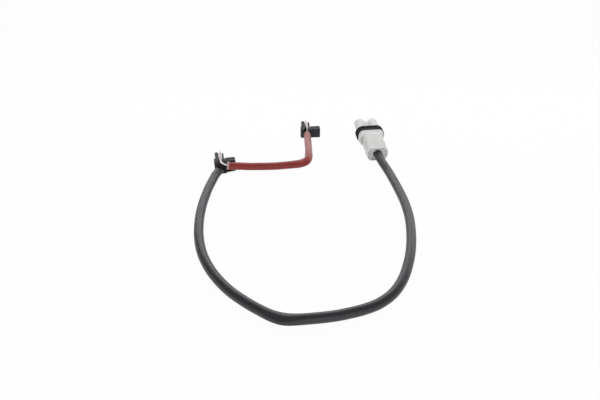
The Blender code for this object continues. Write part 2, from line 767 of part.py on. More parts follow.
def feed_wire_line(sheath):
    """From the first contact through the sheath to the first head's lower splice."""
    level = HEAD_WIRE_AXIS - WIRE_SPREAD
    line = plug_wire_line(1) + beside(sheath, WIRE_SPREAD)[:-1]
    line += [sheath_end(0.0, WIRE_SPREAD)] + turns(in_head_1, FEED_TURNS, level)
    return line + [in_head_1(SPLICE_START - GAP, LOOP_LINE, level)]


def return_wire_line(sheath, sleeve):
    """From the second contact through the sheath, the boot and the sleeve to the second head."""
    level = LINK_AXIS_HEIGHT - WIRE_SPREAD
    line = plug_wire_line(-1) + beside(sheath, -WIRE_SPREAD)[:-1]
    line += [sheath_end(0.0, -WIRE_SPREAD)] + turns(in_head_1, RETURN_TURNS, level)
    line += [in_head_1(BOOT_RIGHT + GAP, -LINK_WIRE_BACK, level)]
    line += beside(sleeve, 0.0, -WIRE_SPREAD)[1:-1]
    return line + second_head_line(HEAD_WIRE_AXIS - WIRE_SPREAD)


def link_wire_line(sleeve):
    """From the first head's upper splice through the boot and the sleeve to the second head."""
    level = HEAD_WIRE_AXIS + WIRE_SPREAD
    line = [in_head_1(SPLICE_START - GAP, LOOP_LINE, level)] + turns(in_head_1, LINK_TURNS, level)
    line += [in_head_1(BOOT_RIGHT + GAP, -LINK_WIRE_BACK, LINK_AXIS_HEIGHT + WIRE_SPREAD)]
    line += beside(sleeve, 0.0, WIRE_SPREAD)[1:-1]
    return line + second_head_line(level)


def second_head_line(level):
    end = in_head_2(SPLICE_START - GAP, LOOP_LINE, level)
    return turns(in_head_2, SECOND_HEAD_TURNS, level) + [end]


def build_cables(looks):
    sheath = sheath_line()
    sleeve = sleeve_line()
    finish(tube("cable_sheath", sheath, SHEATH_DIAMETER, SHEATH_WALL), looks["sheath"])
    finish(tube("link_sleeve", sleeve, SLEEVE_DIAMETER, SLEEVE_WALL), looks["sleeve"])
    wires = (("feed_wire", feed_wire_line(sheath)), ("return_wire", return_wire_line(sheath, sleeve)),
             ("link_wire", link_wire_line(sleeve)))
    for name, line in wires:
        finish(tube(name, line, WIRE_DIAMETER, sides=WIRE_SIDES), looks["wire"])
    build_boot(sheath, looks)


def build_boot(sheath, looks):
    """Moulded rubber that grips the sheath and covers the wires where they part."""
    head = bpy.data.objects["head_1_place"]
    boot = box("junction_boot", (-BOOT_LEFT, -BOOT_LENGTH - GAP, BOOT_LIFT),
               (BOOT_RIGHT, -GAP, BOOT_HEIGHT), head)
    soften(boot, BOOT_EDGE, segments=3)
    outline = [(BOOT_RIGHT + x * MM, y * MM) for x, y in TAIL_OUTLINE]
    tail = plate("tail", outline, TAIL_HEIGHT - TAIL_LIFT, head,
                 Matrix.Translation((0.0, 0.0, TAIL_LIFT)))
    soften(tail, TAIL_EDGE)
    join(boot, tail)
    socket = tube("boot_socket", [sheath[-2], sheath_end(GAP, 0.0)], SHEATH_DIAMETER + 2 * GAP)
    near_wall = -BOOT_LENGTH - GAP + BOOT_WALL
    hollow = box("boot_hollow", (-BOOT_LEFT + BOOT_WALL, near_wall, BOOT_FLOOR),
                 (BOOT_RIGHT - BOOT_WALL, PAST, BOOT_HEIGHT - BOOT_WALL), head)
    room = WIRE_DIAMETER / 2 + GAP
    way_out = box("boot_way_out",
                  (0.0, -LINK_WIRE_BACK - room, LINK_AXIS_HEIGHT - WIRE_SPREAD - room),
                  (BOOT_RIGHT + PAST, -LINK_WIRE_BACK + room, BOOT_HEIGHT - BOOT_WALL), head)
    cut(boot, hollow, way_out, socket)
    finish(boot, looks["rubber"])


def build_sensor():
    looks = make_looks()
    build_plug(looks)
    build_head(1, HEAD_1_PLACE, HEAD_1_TURN, looks)
    build_head(2, HEAD_2_PLACE, HEAD_2_TURN, looks)
    build_cables(looks)


build_sensor()
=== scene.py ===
"""Looks of the brake pad wear sensor: finishes, cable, sleeve, plug, light and camera.

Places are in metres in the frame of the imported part. The cable, the sleeve, the plug's
mouldings, the boot and the heads are made here with finer forms and stand for their solids.
The other solids stay and take a finish.
"""
import math

import bmesh
import bpy
from mathutils import Matrix, Vector


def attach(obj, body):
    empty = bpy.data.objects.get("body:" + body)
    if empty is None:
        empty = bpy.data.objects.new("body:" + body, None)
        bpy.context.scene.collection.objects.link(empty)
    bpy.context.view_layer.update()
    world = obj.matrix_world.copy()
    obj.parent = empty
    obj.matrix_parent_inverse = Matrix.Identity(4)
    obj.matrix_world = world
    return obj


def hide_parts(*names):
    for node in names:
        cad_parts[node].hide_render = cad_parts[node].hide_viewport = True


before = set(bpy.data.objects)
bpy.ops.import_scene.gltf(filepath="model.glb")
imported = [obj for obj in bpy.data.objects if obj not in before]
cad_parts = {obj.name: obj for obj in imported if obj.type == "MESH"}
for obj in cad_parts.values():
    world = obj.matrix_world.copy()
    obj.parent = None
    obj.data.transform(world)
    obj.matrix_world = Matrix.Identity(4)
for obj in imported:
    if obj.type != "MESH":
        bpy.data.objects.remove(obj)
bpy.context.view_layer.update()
MM = 0.001

# Camera at the photograph's height, and its tilt below level in degrees
CAMERA_PLACE = Vector((-1.4, -278.5, 183.4)) * MM
CAMERA_TILT = 38.92
CAMERA_LENS = 31.2
CAMERA_CLIP = 0.01

# Where the plug and the heads lie, as in the part: place in millimetres and turn in degrees
PLUG_PLACE = (46.3, -12.6)
PLUG_TURN = 6.0
PLUG_AXIS = 4.85
HEAD_1_PLACE = (-48.5, -23.1)
HEAD_1_TURN = 12.0
HEAD_2_PLACE = (3.2, 13.9)
HEAD_2_TURN = 5.0

# Cable and sleeve, in millimetres. GAP is kept between an end and what it meets, and FIT
# between the retainer and what it touches
SHEATH_DIAMETER = 5.0
SHEATH_WALL = 0.65
SHEATH_END = (-1.0, -3.2)
SHEATH_END_TURN = -36.0
SHEATH_END_DIP = 0.2
HEAD_WIRE_AXIS = 3.1
SLEEVE_DIAMETER = 4.55
SLEEVE_WALL = 0.4
SLEEVE_START = (3.3, -2.7, 5.0)
GAP = 0.3
FIT = 0.05
RETAINER_START = 0.8
RETAINER_END = 7.8
SHEATH_ROUTE = (
    (47.8, -18.1, 3.9), (49.8, -24.1, 3.2), (51.6, -30.2, 2.7), (54.3, -43.5, 2.5),
    (56.2, -56.5, 2.5), (56.7, -69.4, 2.5), (55.6, -81.8, 2.5), (53.5, -93.5, 2.5),
    (50.3, -104.3, 2.5), (46.2, -113.9, 2.5), (40.8, -121.8, 2.5), (34.2, -127.4, 2.5),
    (27.2, -130.8, 2.5), (20.2, -133.0, 2.5), (13.4, -134.6, 2.5), (6.5, -135.6, 2.5),
    (-0.5, -136.2, 2.5), (-7.4, -135.8, 2.5), (-14.3, -133.9, 2.5), (-20.9, -130.2, 2.5),
    (-27.3, -125.6, 2.5), (-33.7, -120.1, 2.5), (-39.8, -113.2, 2.5), (-45.3, -105.0, 2.5),
    (-49.9, -95.1, 2.5), (-53.0, -83.7, 2.5), (-54.6, -71.3, 2.5), (-54.8, -58.1, 2.5),
    (-53.6, -44.7, 2.5), (-52.0, -35.7, 2.6),
)
SLEEVE_ROUTE = (
    (-42.0, -24.9, 4.7), (-39.4, -24.5, 4.3), (-35.9, -23.8, 3.7), (-31.8, -23.1, 3.0),
    (-26.8, -22.3, 2.5), (-20.7, -21.9, 2.3), (-15.9, -21.6, 2.3), (-11.1, -20.9, 2.3),
    (-6.2, -20.0, 2.3), (-1.6, -18.8, 2.3), (1.9, -16.4, 2.3), (3.6, -11.9, 2.3),
    (4.0, -6.4, 2.3), (3.9, 0.5, 2.3), (3.6, 7.6, 2.5),
)

# Kink of the cable: where it is, how far it spreads along, how much wider and flatter it is
# there, how far its outer side stands out, over which reach, how blunt that corner is along
# the cable and how fast it fades
KINK_PLACE = (-8.4, -135.6)
KINK_REACH = 7.0
KINK_WIDER = 0.11
KINK_FLATTER = 0.18
KINK_CORNER = 0.85
KINK_CORNER_REACH = 11.0
KINK_ROUND = 1.5
KINK_FADE = 1.4

# Fold of the sleeve: where it is, how far along it is creased, how deep its inner side is
# drawn in, how much it swells upwards, and how far its outer side spreads over which reach
FOLD_PLACE = (2.8, -14.4)
FOLD_REACH = 4.2
FOLD_DEPTH = 1.6
FOLD_SWELL = 0.14
FOLD_SPREAD = 1.1
FOLD_SPREAD_REACH = 8.0

# How fast a change to one side of the cable or the sleeve fades around it
SIDE_FADE = 1.5

# Braid of the sleeve: strands around it, and millimetres along it for one full cross
BRAID_STRANDS = 18.0
BRAID_PITCH = 2.0

# Where along the sleeve its pale first end stops, where beyond the fold a painted sheen turns
# it paler, in millimetres, and how much paler that painted sheen makes it
END_BAND = (0.5, 1.6)
PAINTED_SHEEN_BAND = (48.0, 60.0)
PAINTED_SHEEN_SHARE = 0.5

# Flare of the sleeve's first end: its reach in millimetres, and its rise as a share
FLARE_REACH = 1.2
FLARE_RISE = 0.07

# Plug, in millimetres along it and across it: half width, half height, corner. An inset is
# how much smaller the flat middle of an end face is
SHROUD = (6.4, 4.6, 3.4)
SHROUD_INSIDE = (5.4, 3.6, 2.4)
SHROUD_END = 17.0
POCKET_END = 15.0
MOUTH_DEPTH = 0.8
MOUTH_FLARE = 0.6
# Painted light: how much paler the retainer's nylon is made, to lift the shade of its recess
RETAINER_PAINTED_LIGHT = 0.18
RETAINER_FACE = 0.45
COLLAR = (8.0, 4.8, 3.5)
COLLAR_END = 21.0
COLLAR_STEP = 0.25
COLLAR_RIM = 1.3
CORE = (7.8, 3.6, 3.6)
CORE_END = 26.3
POCKET_FLOOR_INSET = 2.0
CORE_FACE_INSET = 2.5
OVERLAP = 1.0
BARREL_RADIUS = 3.5
BARREL_SPACING = 8.4
BARREL_END = 38.1
CONTACT_BORE = 1.95
BORE_FLARE = 0.35
WEB = (4.2, 1.8, 0.6)
WEB_ROOT_INSET = 0.3
WEB_FACE = (3.7, 1.3, 0.3)
WEB_END = 37.1
PIN_MARK_PLACE = (3.9, 18.9)
PIN_MARK_RADIUS = 0.75
PIN_MARK_DEPTH = 0.18
PIN_MARK_REACH = 2.0

# Seal and its two ribs, in millimetres along the plug and across it
SEAL_START = 21.3
SEAL_INSIDE = (8.1, 3.9, 3.9)
SEAL_RISE = 0.5
RIB_RISE = 0.45
RIB_LENGTH = 1.7
RIB_INSET = 0.15

# Strips from the clips to the sleeve, in millimetres in their heads' places
TAIL_WIDTH = 1.3
TAIL_THICKNESS = 0.45
TAIL_1 = (
    (0.2, 6.6, 5.3), (0.1, 5.6, 6.4), (-0.05, 3.9, 6.8), (-0.15, 1.2, 7.4), (-0.1, -0.9, 7.75),
    (0.1, -2.6, 7.75), (0.9, -3.9, 7.6), (2.0, -4.5, 7.2), (3.0, -4.8, 6.8),
)
TAIL_2 = (
    (0.5, 6.6, 5.3), (0.42, 5.4, 6.4), (0.36, 3.2, 6.75), (0.28, 1.8, 6.5), (0.2, 0.7, 5.7),
    (0.1, -0.2, 5.0), (0.0, -1.2, 4.7),
)

# Boot, in millimetres in its head's place: how far its near side is drawn in, above which
# height, from where to where this grows to the right and towards the near side, and how far
# the top of its near side comes down, from which height and over how much of it
BOOT_PINCH = 0.9
BOOT_PINCH_HEIGHT = 2.2
BOOT_PINCH_RIGHT = (-1.0, 3.0)
BOOT_PINCH_NEAR = (-2.0, -4.2)
BOOT_DROP = 0.6
BOOT_DROP_START = 5.0
BOOT_DROP_HEIGHT = 2.3

# Fineness: steps, and lengths in millimetres
CORNER_STEPS = 10
FILLET_STEPS = 5
TUBE_SIDES = 56
SHEATH_STEP = 0.9
SLEEVE_STEP = 0.45
RIBBON_STEP = 0.3
CURVE_STEPS = 24
STRAIGHT_STEPS = 6
MERGE = 0.0005
SOLID_MERGE = 0.001

# Edges of the heads and the boot: steps around a rounded edge, and, in degrees, from which
# turn an edge is rounded and up to which turn faces count as one
EDGE_STEPS = 3
EDGE_ANGLE = 35.0
FLAT_ANGLE = 0.5

# Most of a side that the rounding of a corner may take, and how wide the flat middle of a
# round bar's end is as a share of its radius
FILLET_SHARE = 0.47
ROD_FACE = 0.3

# Where a noise counts as none and as full, for colours and for gloss
CLOUDS = (0.35, 0.65)
GLOSS = (0.3, 0.7)


# Places

def frame_matrix(place, turn, height=0.0):
    """Where a piece of the part lies, from millimetres and degrees."""
    move = Matrix.Translation(Vector((place[0], place[1], height)) * MM)
    return move @ Matrix.Rotation(math.radians(turn), 4, "Z")


PLUG = frame_matrix(PLUG_PLACE, PLUG_TURN, PLUG_AXIS)
HEAD_1 = frame_matrix(HEAD_1_PLACE, HEAD_1_TURN)
HEAD_2 = frame_matrix(HEAD_2_PLACE, HEAD_2_TURN)


def placed(matrix, x, y, z):
    """A point given in millimetres in a piece's own place."""
    return matrix @ (Vector((x, y, z)) * MM)


# Small sums

def grown(values, rise):
    """The values with the same amount on each, such as a rounded rectangle made larger."""
    return tuple(value + rise for value in values)


def scaled(values, factor):
    return tuple(value * factor for value in values)


def share_between(value, start, end):
    """How far a value is on its way from start to end, from 0 to 1."""
    return min(1.0, max(0.0, (value - start) / (end - start)))


def fade(distance, reach):
    """From 1 at no distance straight down to 0 at the reach."""
    return max(0.0, 1.0 - distance / reach)


def bell(distance, reach):
    """From 1 at no distance smoothly down to nothing beyond the reach."""
    return math.exp(-(distance / reach) ** 2)


# Materials

def new_look(name, colour, roughness, extra=()):
    """A material whose shader has these steady values. extra gives more of its sockets."""
    made = bpy.data.materials.new(name)
    made.use_nodes = True
    shader = made.node_tree.nodes["Principled BSDF"]
    shader.inputs["Base Color"].default_value = (*colour, 1.0)
    shader.inputs["Roughness"].default_value = roughness
    for key, value in dict(extra).items():
        shader.inputs[key].default_value = value
    return made


def shader_of(look):
    return look.node_tree.nodes["Principled BSDF"]


def put(look, socket, value):
    if isinstance(value, bpy.types.NodeSocket):
        look.node_tree.links.new(value, socket)
    else:
        socket.default_value = value


def add(look, kind, sockets=(), **settings):
    """A node with its settings, whose sockets take a number or another node's output."""
    made = look.node_tree.nodes.new("ShaderNode" + kind)
    for key, value in settings.items():
        setattr(made, key, value)
    for key, value in dict(sockets).items():
        put(look, made.inputs[key], value)
    return made


def calculate(look, operation, first, second=0.0):
    return add(look, "Math", {0: first, 1: second}, operation=operation).outputs[0]


def noise(look, size_mm, detail=3.0, stretch=(1.0, 1.0, 1.0)):
    """Cloudy noise, from 0 to 1, whose spots are about a size across."""
    place = add(look, "TexCoord").outputs["Object"]
    mapped = add(look, "Mapping", {"Vector": place, "Scale": stretch}).outputs[0]
    made = add(look, "TexNoise", {"Vector": mapped, "Scale": 1.0 / (size_mm * MM),
                                  "Detail": detail})
    return made.outputs[0]


def spread(look, value, low, high, new_low=0.0, new_high=1.0):
    """Map a range of a value onto another range, without going past its ends."""
    made = add(look, "MapRange", {"Value": value, "From Min": low, "From Max": high,
                                  "To Min": new_low, "To Max": new_high})
    return made.outputs[0]


def blend_colours(look, share, first, second):
    """A colour that goes from the first to the second. Each is a triple or a node's output."""
    made = add(look, "Mix", data_type="RGBA")
    put(look, made.inputs["Factor"], share)
    for socket, colour in ((made.inputs[6], first), (made.inputs[7], second)):
        if not isinstance(colour, bpy.types.NodeSocket):
            colour = (*colour, 1.0)
        put(look, socket, colour)
    return made.outputs[2]


def cloudy(look, value, dark, pale):
    """A colour that a noise blends from dark to pale."""
    return blend_colours(look, spread(look, value, *CLOUDS), dark, pale)


def set_colour(look, colour):
    put(look, shader_of(look).inputs["Base Color"], colour)


def set_roughness(look, value, low, high):
    """Roughness that a noise varies from low to high."""
    put(look, shader_of(look).inputs["Roughness"], spread(look, value, *GLOSS, low, high))


def set_bump(look, height, depth_mm):
    bump = add(look, "Bump", {"Height": height, "Distance": depth_mm * MM, "Strength": 1.0})
    put(look, shader_of(look).inputs["Normal"], bump.outputs[0])


def along_tube(look):
    """Turns around a tube, from 0 to 1, and millimetres along it, from its texture map."""
    split = add(look, "SeparateXYZ", {0: add(look, "UVMap", uv_map="tube").outputs[0]})
    return split.outputs[0], split.outputs[1]


def nylon_look(name, painted_lift):
    """Natural nylon, through which light goes a little way. Its second argument makes it
    paler, as painted light.
    """
    look = new_look(name, (0.70, 0.695, 0.675), 0.4,
                    {"Subsurface Weight": 1.0, "Subsurface Scale": 0.004,
                     "Subsurface Radius": (1.0, 1.0, 1.0)})
    dark = grown((0.665, 0.66, 0.64), painted_lift)
    pale = grown((0.705, 0.70, 0.685), painted_lift)
    set_colour(look, cloudy(look, noise(look, 6.0), dark, pale))
    set_roughness(look, noise(look, 1.2), 0.34, 0.46)
    set_bump(look, noise(look, 0.35, 4.0), 0.012)
    return look


def rubber_look(name, colour, roughness):
    """Moulded rubber with a fine grain and a little dust."""
    look = new_look(name, colour, roughness, {"Specular IOR Level": 0.25})
    dust = spread(look, noise(look, 1.6, 6.0), 0.55, 0.8)
    set_colour(look, blend_colours(look, dust, colour, scaled(colour, 2.2)))
    set_roughness(look, noise(look, 0.8), roughness - 0.06, roughness + 0.08)
    set_bump(look, noise(look, 0.18, 3.0), 0.01)
    return look


def sheath_look():
    """Extruded cable sheath: long faint streaks, a fine grain and scuffs."""
    look = new_look("black_sheath", (0.008, 0.0075, 0.010), 0.42,
                    {"Specular IOR Level": 0.72, "Specular Tint": (0.96, 0.93, 1.0, 1.0)})
    around, along = along_tube(look)
    turn = calculate(look, "MULTIPLY", around, 2 * math.pi)
    place = add(look, "CombineXYZ", {
        0: calculate(look, "COSINE", turn), 1: calculate(look, "SINE", turn),
        2: calculate(look, "MULTIPLY", along, 0.02)}).outputs[0]
    streaks = add(look, "TexNoise", {"Vector": place, "Scale": 5.0, "Detail": 3.0}).outputs[0]
    scuffs = spread(look, noise(look, 2.4, 6.0), 0.6, 0.75)
    base = cloudy(look, streaks, (0.005, 0.0046, 0.0064), (0.010, 0.0094, 0.0124))
    set_colour(look, blend_colours(look, scuffs, base, (0.025, 0.024, 0.027)))
    set_roughness(look, streaks, 0.31, 0.42)
    grain = calculate(look, "MULTIPLY", noise(look, 0.22, 3.0), 0.5)
    set_bump(look, calculate(look, "ADD", streaks, grain), 0.02)
    return look


def sleeve_look():
    """Braided sleeve under a thin shiny coat, with a pale first end, and a painted sheen that
    makes the far run paler.
    """
    look = new_look("red_brown_sleeve", (0.30, 0.026, 0.020), 0.42,
                    {"Specular IOR Level": 0.4, "Coat Weight": 0.2, "Coat Roughness": 0.3})
    around, along = along_tube(look)
    strands = calculate(look, "MULTIPLY", around, BRAID_STRANDS)
    rise = calculate(look, "DIVIDE", along, BRAID_PITCH)
    waves = []
    for operation in ("ADD", "SUBTRACT"):
        turns = calculate(look, operation, strands, rise)
        waves.append(calculate(look, "SINE", calculate(look, "MULTIPLY", turns, 2 * math.pi)))
    braid = calculate(look, "MAXIMUM", waves[0], waves[1])
    clouds = noise(look, 3.0, 5.0)
    base = cloudy(look, clouds, (0.20, 0.010, 0.008), (0.28, 0.018, 0.014))
    strand = spread(look, braid, -0.2, 1.0, 0.0, 0.35)
    threads = blend_colours(look, strand, base, (0.40, 0.045, 0.035))
    start = spread(look, along, *END_BAND, 1.0, 0.0)
    pale_start = blend_colours(look, start, threads, (0.62, 0.42, 0.40))
    # Painted sheen: beyond the fold the colour is blended towards pale pink, standing for the
    # reflection along the far run
    far = spread(look, along, *PAINTED_SHEEN_BAND, 0.0, PAINTED_SHEEN_SHARE)
    set_colour(look, blend_colours(look, far, pale_start, (0.48, 0.28, 0.27)))
    set_roughness(look, clouds, 0.36, 0.48)
    height = calculate(look, "ADD", calculate(look, "MULTIPLY", braid, 0.5), clouds)
    set_bump(look, height, 0.05)
    return look


def head_look():
    """Glass filled moulding: near black, with a sparked grain."""
    look = new_look("black_moulding", (0.014, 0.015, 0.019), 0.5,
                    {"Specular IOR Level": 0.4, "Specular Tint": (0.93, 0.93, 1.0, 1.0)})
    clouds = spread(look, noise(look, 1.5, 5.0), 0.4, 0.7)
    set_colour(look, blend_colours(look, clouds, (0.011, 0.012, 0.015), (0.024, 0.026, 0.032)))
    set_roughness(look, noise(look, 0.5), 0.42, 0.56)
    set_bump(look, noise(look, 0.16, 4.0), 0.006)
    return look


def metal_look(name, colour, roughness, streak_mm, stretch):
    """Metal with fine rolling or turning lines."""
    look = new_look(name, colour, roughness, {"Metallic": 1.0})
    lines = noise(look, streak_mm, 4.0, stretch=stretch)
    set_colour(look, cloudy(look, lines, scaled(colour, 0.82), colour))
    set_roughness(look, lines, roughness - 0.07, roughness + 0.1)
    set_bump(look, lines, 0.006)
    return look


def plain_look(name, colour, roughness):
    """Smooth plastic or resin with faint clouds in it."""
    look = new_look(name, colour, roughness)
    clouds = noise(look, 0.9, 4.0)
    set_colour(look, cloudy(look, clouds, scaled(colour, 0.8), colour))
    set_roughness(look, clouds, roughness - 0.06, roughness + 0.08)
    set_bump(look, clouds, 0.008)
    return look


LOOKS = {
    "nylon": nylon_look("natural_nylon", 0.0),
    "rubber": rubber_look("black_rubber", (0.005, 0.005, 0.006), 0.58),
    "sheath": sheath_look(),
    "sleeve": sleeve_look(),
    "wire": plain_look("wire_insulation", (0.30, 0.30, 0.32), 0.45),
    "head": head_look(),
    "steel": metal_look("spring_steel", (0.54, 0.48, 0.51), 0.48, 0.5, (1.0, 1.0, 0.08)),
    "copper": metal_look("copper_wire", (0.72, 0.35, 0.20), 0.32, 0.3, (0.1, 1.0, 1.0)),
    "tin": metal_look("tinned_brass", (0.72, 0.68, 0.58), 0.3, 0.3, (1.0, 0.1, 1.0)),
    "resin": plain_look("potting_resin", (0.06, 0.05, 0.04), 0.22),
}


# Mesh tools

def settle(obj, look, sharp=34.0):
    """Finish a new piece: its look, smooth faces with sharp edges, and the body it rides."""
    obj.data.materials.clear()
    obj.data.materials.append(LOOKS[look])
    obj.data.shade_smooth()
    obj.data.set_sharp_from_angle(angle=math.radians(sharp))
    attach(obj, "root")


def new_object(name, shape):
    mesh = bpy.data.meshes.new(name)
    shape.to_mesh(mesh)
    shape.free()
    made = bpy.data.objects.new(name, mesh)
    bpy.context.scene.collection.objects.link(made)
    return made


def closed_object(name, shape):
    """An object whose doubled points are joined and whose faces look outwards."""
    bmesh.ops.remove_doubles(shape, verts=shape.verts, dist=MERGE * MM)
    bmesh.ops.recalc_face_normals(shape, faces=shape.faces)
    return new_object(name, shape)


def bridge(shape, near, far):
    """Faces between two rings of points."""
    for i, point in enumerate(near):
        j = (i + 1) % len(near)
        shape.faces.new((point, near[j], far[j], far[i]))


def apply_steps(obj):
    """Turn a piece's modifiers into its mesh."""
    bpy.context.view_layer.update()
    evaluated = obj.evaluated_get(bpy.context.evaluated_depsgraph_get())
    mesh = bpy.data.meshes.new_from_object(evaluated)
    obj.modifiers.clear()
    obj.data = mesh


def combine(obj, others, operation):
    """Join other pieces to a piece or cut them out of it, and delete them."""
    for other in others:
        step = obj.modifiers.new(operation.lower(), "BOOLEAN")
        step.operation = operation
        step.object = other
        step.solver = "EXACT"
    apply_steps(obj)
    for other in others:
        bpy.data.objects.remove(other, do_unlink=True)


def ring(half_width, half_height, corner):
    """Outline of a rounded rectangle about the middle, in X and Z."""
    corner = min(corner, half_width, half_height)
    points = []
    for quarter, (sx, sz) in enumerate(((1, 1), (-1, 1), (-1, -1), (1, -1))):
        for step in range(CORNER_STEPS + 1):
            angle = math.radians(90.0 * (quarter + step / CORNER_STEPS))
            x = sx * (half_width - corner) + corner * math.cos(angle)
            z = sz * (half_height - corner) + corner * math.sin(angle)
            points.append((x, z))
    return points


def rounded(stations, fillet, closed):
    """Swap each corner of a profile for points on a short curve."""
    count = len(stations)
    made = []
    for i, station in enumerate(stations):
        here = Vector(station)
        if not closed and i in (0, count - 1):
            made.append(here)
            continue
        back = Vector(stations[i - 1]) - here
        ahead = Vector(stations[(i + 1) % count]) - here
        reach_back = max(abs(v) for v in back)
        reach_ahead = max(abs(v) for v in ahead)
        cut = min(fillet, FILLET_SHARE * reach_back, FILLET_SHARE * reach_ahead)
        first = here + back * (cut / reach_back)
        last = here + ahead * (cut / reach_ahead)
        for step in range(FILLET_STEPS + 1):
            t = step / FILLET_STEPS
            made.append(first * (1 - t) ** 2 + here * 2 * t * (1 - t) + last * t ** 2)
    return made


def loft(name, stations, matrix, fillet, closed=False, place=(0.0, 0.0)):
    """Skin over rounded rectangles along Y. A station is y, half width, half height and
    corner. fillet rounds the edges where the stations turn."""
    shape = bmesh.new()
    rings = []
    for y, half_width, half_height, corner in rounded(stations, fillet, closed):
        outline = ring(half_width, half_height, corner)
        rings.append([shape.verts.new(placed(matrix, place[0] + x, y, place[1] + z))
                      for x, z in outline])
    pairs = list(zip(rings, rings[1:]))
    if closed:
        pairs.append((rings[-1], rings[0]))
    else:
        shape.faces.new(rings[0])
        shape.faces.new(rings[-1])
    for near, far in pairs:
        bridge(shape, near, far)
    return closed_object(name, shape)


def round_rod(name, radius, start, end, matrix, place, fillet, flare=0.0):
    """A round bar along Y, with rounded ends, or with a flare at its far end."""
    small = (radius * ROD_FACE,) * 3
    full = (radius,) * 3
    stations = [(start, *small), (start, *full)]
    if flare:
        wide = grown(full, flare)
        past = end + OVERLAP
        stations += [(end - flare, *full), (end, *wide), (past, *wide), (past, *small)]
    else:
        stations += [(end, *full), (end, *small)]
    return loft(name, stations, matrix, fillet, place=place)


# Plug

def build_plug_housing():
    """Shroud with its pocket, collar, core and the two barrels with the web between them."""
    low_collar = (COLLAR[0] - COLLAR_STEP, COLLAR[1] - COLLAR_STEP, COLLAR[2])
    rim = COLLAR_END - COLLAR_RIM
    root = CORE_END - OVERLAP
    housing = loft("plug_housing", [
        (POCKET_END, *grown(SHROUD_INSIDE, -POCKET_FLOOR_INSET)), (POCKET_END, *SHROUD_INSIDE),
        (MOUTH_DEPTH, *SHROUD_INSIDE), (0.0, *grown(SHROUD_INSIDE, MOUTH_FLARE)),
        (0.0, *SHROUD), (SHROUD_END, *SHROUD), (SHROUD_END, *low_collar), (rim, *low_collar),
        (rim, *COLLAR), (COLLAR_END, *COLLAR), (COLLAR_END, *CORE), (CORE_END, *CORE),
        (CORE_END, *grown(CORE, -CORE_FACE_INSET)),
    ], PLUG, fillet=0.45)
    web = loft("web", [
        (root, *grown(WEB, -WEB_ROOT_INSET)), (root, *WEB), (WEB_END, *WEB),
        (WEB_END, *WEB_FACE),
    ], PLUG, fillet=0.35)
    solids = [web]
    holes = []
    for side in (-1, 1):
        place = (side * BARREL_SPACING / 2, 0.0)
        solids.append(round_rod("barrel", BARREL_RADIUS, root, BARREL_END, PLUG, place,
                                fillet=0.55))
        holes.append(round_rod("bore", CONTACT_BORE, POCKET_END - OVERLAP, BARREL_END, PLUG,
                               place, fillet=0.2, flare=BORE_FLARE))
    mark_floor = (*PIN_MARK_PLACE, low_collar[1] - PIN_MARK_DEPTH)
    upright = (PLUG @ Matrix.Translation(Vector(mark_floor) * MM)
               @ Matrix.Rotation(math.radians(90.0), 4, "X"))
    holes.append(round_rod("pin_mark", PIN_MARK_RADIUS, 0.0, PIN_MARK_REACH, upright,
                           (0.0, 0.0), fillet=0.05))
    combine(housing, solids, "UNION")
    combine(housing, holes, "DIFFERENCE")
    settle(housing, "nylon")
    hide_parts("connector_housing")


def build_plug_seal():
    """Ring with two round ribs, in front of the collar."""
    base = grown(SEAL_INSIDE, SEAL_RISE)
    rib = grown(base, RIB_RISE)
    end = CORE_END
    first = SEAL_START + RIB_INSET
    first_end = SEAL_START + RIB_LENGTH - RIB_INSET
    last = end - RIB_LENGTH + RIB_INSET
    last_end = end - RIB_INSET
    seal = loft("plug_seal", [
        (SEAL_START, *SEAL_INSIDE), (SEAL_START, *base), (first, *base), (first, *rib),
        (first_end, *rib), (first_end, *base), (last, *base), (last, *rib), (last_end, *rib),
        (last_end, *base), (end, *base), (end, *SEAL_INSIDE),
    ], PLUG, fillet=0.6, closed=True)
    settle(seal, "rubber", sharp=50.0)
    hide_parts("connector_seal")


def build_cable_retainer():
    """Insert in the shroud around the cable, painted paler than the shroud against the shade
    in its recess.
    """
    hole = (SHEATH_DIAMETER / 2 + FIT,) * 3
    outside = grown(SHROUD_INSIDE, -FIT)
    retainer = loft("plug_cable_retainer", [
        (RETAINER_FACE, *hole), (RETAINER_FACE, *outside), (RETAINER_END, *outside),
        (RETAINER_END, *hole),
    ], PLUG, fillet=0.3, closed=True)
    settle(retainer, "nylon", sharp=40.0)
    # Painted light: a paler copy of the nylon, against the shade in the retainer's recess
    retainer.material_slots[0].material = nylon_look("painted_light_nylon", RETAINER_PAINTED_LIGHT)
    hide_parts("connector_cable_retainer")


# Heads and boot

def refine(node, look, width, reshape=None):
    """A copy of a solid with rounder edges, which stands for it. reshape may move a point."""
    shape = bmesh.new()
    shape.from_mesh(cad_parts[node].data)
    bmesh.ops.remove_doubles(shape, verts=shape.verts, dist=SOLID_MERGE * MM)
    bmesh.ops.dissolve_limit(shape, angle_limit=math.radians(FLAT_ANGLE), verts=shape.verts,
                             edges=shape.edges)
    if reshape is not None:
        for vert in shape.verts:
            vert.co = reshape(vert.co)
    made = new_object(node + "_shell", shape)
    step = made.modifiers.new("edges", "BEVEL")
    step.width = width * MM
    step.segments = EDGE_STEPS
    step.limit_method = "ANGLE"
    step.angle_limit = math.radians(EDGE_ANGLE)
    step.use_clamp_overlap = True
    apply_steps(made)
    settle(made, look)
    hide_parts(node)


